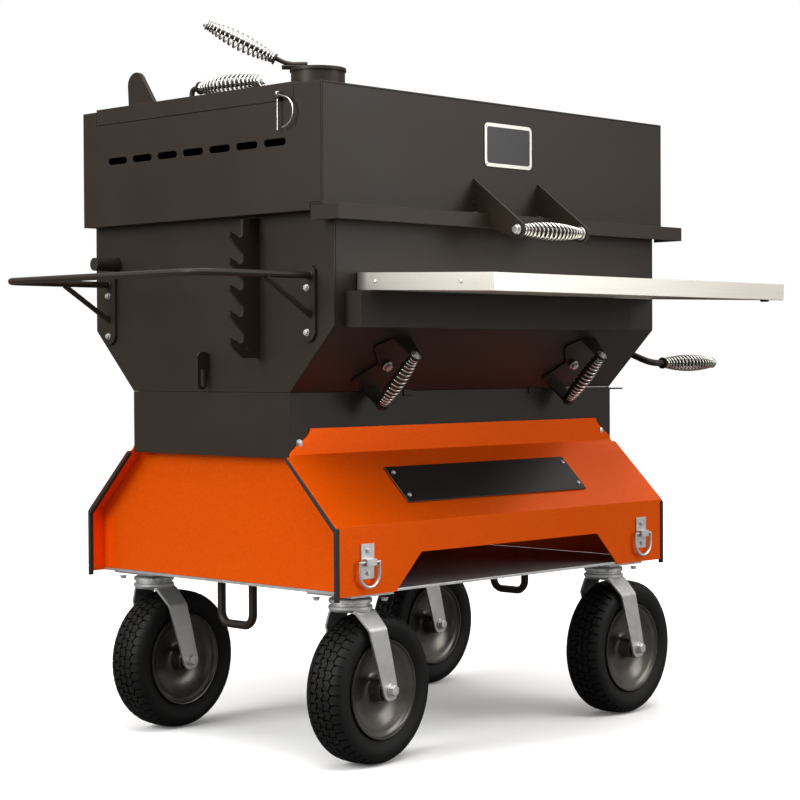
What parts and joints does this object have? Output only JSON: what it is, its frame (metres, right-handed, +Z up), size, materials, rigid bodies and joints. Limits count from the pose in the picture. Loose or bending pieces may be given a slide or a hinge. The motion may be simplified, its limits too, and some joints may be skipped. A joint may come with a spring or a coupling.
{
  "type": "charcoal grill",
  "caption": "Hopper-bodied charcoal grill with a hinged flat-top hood and side lever, on a caster cart with a front shelf.",
  "frame": {"origin": "middle of the outline's footprint, on the ground", "axes": "+X along the grill's width towards the lift lever's grip, -Y the side the shelf and handle face, +Z up"},
  "size_m": [1.4712, 1.0336, 1.3837],
  "materials": {
    "black_heat_paint": "satin high-heat paint",
    "orange_powder_coat": "metallic powder coat",
    "brushed_stainless": "brushed",
    "nickel_coil": "bright nickel",
    "zinc_plate": "zinc plated",
    "tyre_rubber": "treaded rubber",
    "raw_bar_steel": "seasoned bar steel",
    "grey_rim_paint": "semi-gloss grey",
    "black_badge": "gloss black"
  },
  "bodies": {
    "frame": {"left_side_plate": "black_heat_paint", "right_side_plate": "black_heat_paint", "front_hopper_sheet": "black_heat_paint", "rear_hopper_sheet": "black_heat_paint", "firebox_base": "black_heat_paint", "rack_left": "black_heat_paint", "rack_right": "black_heat_paint", "tool_tab": "black_heat_paint", "side_rail": "black_heat_paint", "shelf_receiver": "black_heat_paint", "hinge_bracket_left": "black_heat_paint", "hinge_bracket_right": "black_heat_paint", "lift_loop_left": "black_heat_paint", "lift_loop_right": "black_heat_paint", "cart_front_panel": "orange_powder_coat", "cart_rear_panel": "orange_powder_coat", "cart_end_left": "orange_powder_coat", "cart_end_right": "orange_powder_coat", "front_shelf": "brushed_stainless", "cart_floor": "zinc_plate", "ring_bracket_left": "zinc_plate", "ring_bracket_right": "zinc_plate", "cooking_grate_left": "raw_bar_steel", "cooking_grate_right": "raw_bar_steel", "grate_bearer": "raw_bar_steel", "badge_plate": "black_badge"},
    "hood": {"hood_front_panel": "black_heat_paint", "hood_rear_panel": "black_heat_paint", "hood_roof": "black_heat_paint", "hood_left_panel": "black_heat_paint", "hood_right_panel": "black_heat_paint", "hood_lip": "black_heat_paint", "hood_handle": "nickel_coil", "hinge_arm_left": "black_heat_paint", "hinge_arm_right": "black_heat_paint", "stack_pipe": "black_heat_paint"},
    "stack_cover": {"stack_cap": "black_heat_paint"},
    "hatch": {"roof_hatch": "black_heat_paint", "hatch_handle": "nickel_coil"},
    "lock_pin": {"hatch_lock_pin": "nickel_coil"},
    "lift": {"lift_shaft": "black_heat_paint"},
    "lever": {"lift_lever": "black_heat_paint"},
    "coal_grate": {"fire_grate": "raw_bar_steel"},
    "damper_l": {"damper_left": "black_heat_paint"},
    "damper_r": {"damper_right": "black_heat_paint"},
    "drawer": {"ash_drawer": "black_heat_paint"},
    "ring_l": {"tie_ring_left": "zinc_plate"},
    "ring_r": {"tie_ring_right": "zinc_plate"},
    "caster_front_left": {"fork_front_left": "zinc_plate"},
    "wheel_front_left": {"tyre_front_left": "tyre_rubber", "rim_front_left": "grey_rim_paint"},
    "caster_rear_left": {"fork_rear_left": "zinc_plate"},
    "wheel_rear_left": {"tyre_rear_left": "tyre_rubber", "rim_rear_left": "grey_rim_paint"},
    "caster_front_right": {"fork_front_right": "zinc_plate"},
    "wheel_front_right": {"tyre_front_right": "tyre_rubber", "rim_front_right": "grey_rim_paint"},
    "caster_rear_right": {"fork_rear_right": "zinc_plate"},
    "wheel_rear_right": {"tyre_rear_right": "tyre_rubber", "rim_rear_right": "grey_rim_paint"}
  },
  "joints": [
    {"name": "hood_hinge", "type": "hinge", "parent": "frame", "child": "hood", "pos_m": [-0.02125, 0.50181, 0.9845], "axis": [-1, 0, 0], "range_deg": [0, 95]},
    {"name": "stack_cap_swing", "type": "hinge", "parent": "hood", "child": "stack_cover", "pos_m": [-0.1523, 0.17726, 1.2835], "axis": [0, 0, -1], "range_deg": [0, 150]},
    {"name": "roof_hatch_hinge", "type": "hinge", "parent": "hood", "child": "hatch", "pos_m": [-0.39275, 0.13731, 1.2153], "axis": [0, 1, 0], "range_deg": [0, 95]},
    {"name": "lock_pin_pull", "type": "slide", "parent": "hood", "child": "lock_pin", "axis": [0, 0, 1], "range_m": [0, 0.06]},
    {"name": "grate_lift", "type": "hinge", "parent": "frame", "child": "lift", "pos_m": [-0.02125, 0.40531, 0.9125], "axis": [-1, 0, 0], "range_deg": [0, 26]},
    {"name": "lever_engage", "type": "slide", "parent": "lift", "child": "lever", "axis": [-1, 0, 0], "range_m": [0, 0.031]},
    {"name": "grate_rise", "type": "slide", "parent": "frame", "child": "coal_grate", "axis": [0, 0, 1], "range_m": [0, 0.1342]},
    {"name": "damper_turn_left", "type": "hinge", "parent": "frame", "child": "damper_l", "pos_m": [-0.28755, -0.13495, 0.72148], "axis": [0, -0.7148, -0.6994], "range_deg": [0, 90]},
    {"name": "damper_turn_right", "type": "hinge", "parent": "frame", "child": "damper_r", "pos_m": [0.24505, -0.13495, 0.72148], "axis": [0, -0.7148, -0.6994], "range_deg": [0, 90]},
    {"name": "ash_drawer_slide", "type": "slide", "parent": "frame", "child": "drawer", "axis": [1, 0, 0], "range_m": [0, 0.8]},
    {"name": "tie_ring_swing_left", "type": "hinge", "parent": "frame", "child": "ring_l", "pos_m": [-0.41275, -0.21849, 0.374], "axis": [-1, 0, 0], "range_deg": [0, 150]},
    {"name": "tie_ring_swing_right", "type": "hinge", "parent": "frame", "child": "ring_r", "pos_m": [0.37025, -0.21849, 0.374], "axis": [-1, 0, 0], "range_deg": [0, 150]},
    {"name": "swivel_front_left", "type": "hinge", "parent": "frame", "child": "caster_front_left", "pos_m": [-0.38325, -0.13929, 0.31], "axis": [0, 0, 1], "continuous": true},
    {"name": "wheel_spin_front_left", "type": "hinge", "parent": "caster_front_left", "child": "wheel_front_left", "pos_m": [-0.33346, -0.13476, 0.136], "axis": [-0.0906, 0.9959, 0], "continuous": true},
    {"name": "swivel_rear_left", "type": "hinge", "parent": "frame", "child": "caster_rear_left", "pos_m": [-0.38325, 0.41391, 0.31], "axis": [0, 0, 1], "continuous": true},
    {"name": "wheel_spin_rear_left", "type": "hinge", "parent": "caster_rear_left", "child": "wheel_rear_left", "pos_m": [-0.3334, 0.41774, 0.136], "axis": [-0.0767, 0.9971, 0], "continuous": true},
    {"name": "swivel_front_right", "type": "hinge", "parent": "frame", "child": "caster_front_right", "pos_m": [0.34075, -0.13929, 0.31], "axis": [0, 0, 1], "continuous": true},
    {"name": "wheel_spin_front_right", "type": "hinge", "parent": "caster_front_right", "child": "wheel_front_right", "pos_m": [0.3907, -0.13711, 0.136], "axis": [-0.0436, 0.999, 0], "continuous": true},
    {"name": "swivel_rear_right", "type": "hinge", "parent": "frame", "child": "caster_rear_right", "pos_m": [0.34075, 0.41391, 0.31], "axis": [0, 0, 1], "continuous": true},
    {"name": "wheel_spin_rear_right", "type": "hinge", "parent": "caster_rear_right", "child": "wheel_rear_right", "pos_m": [0.39068, 0.41653, 0.136], "axis": [-0.0523, 0.9986, 0], "continuous": true}
  ],
  "couplings": [
    {"joint": "grate_rise", "follows": "grate_lift", "m_per_rad": 0.2953}
  ]
}
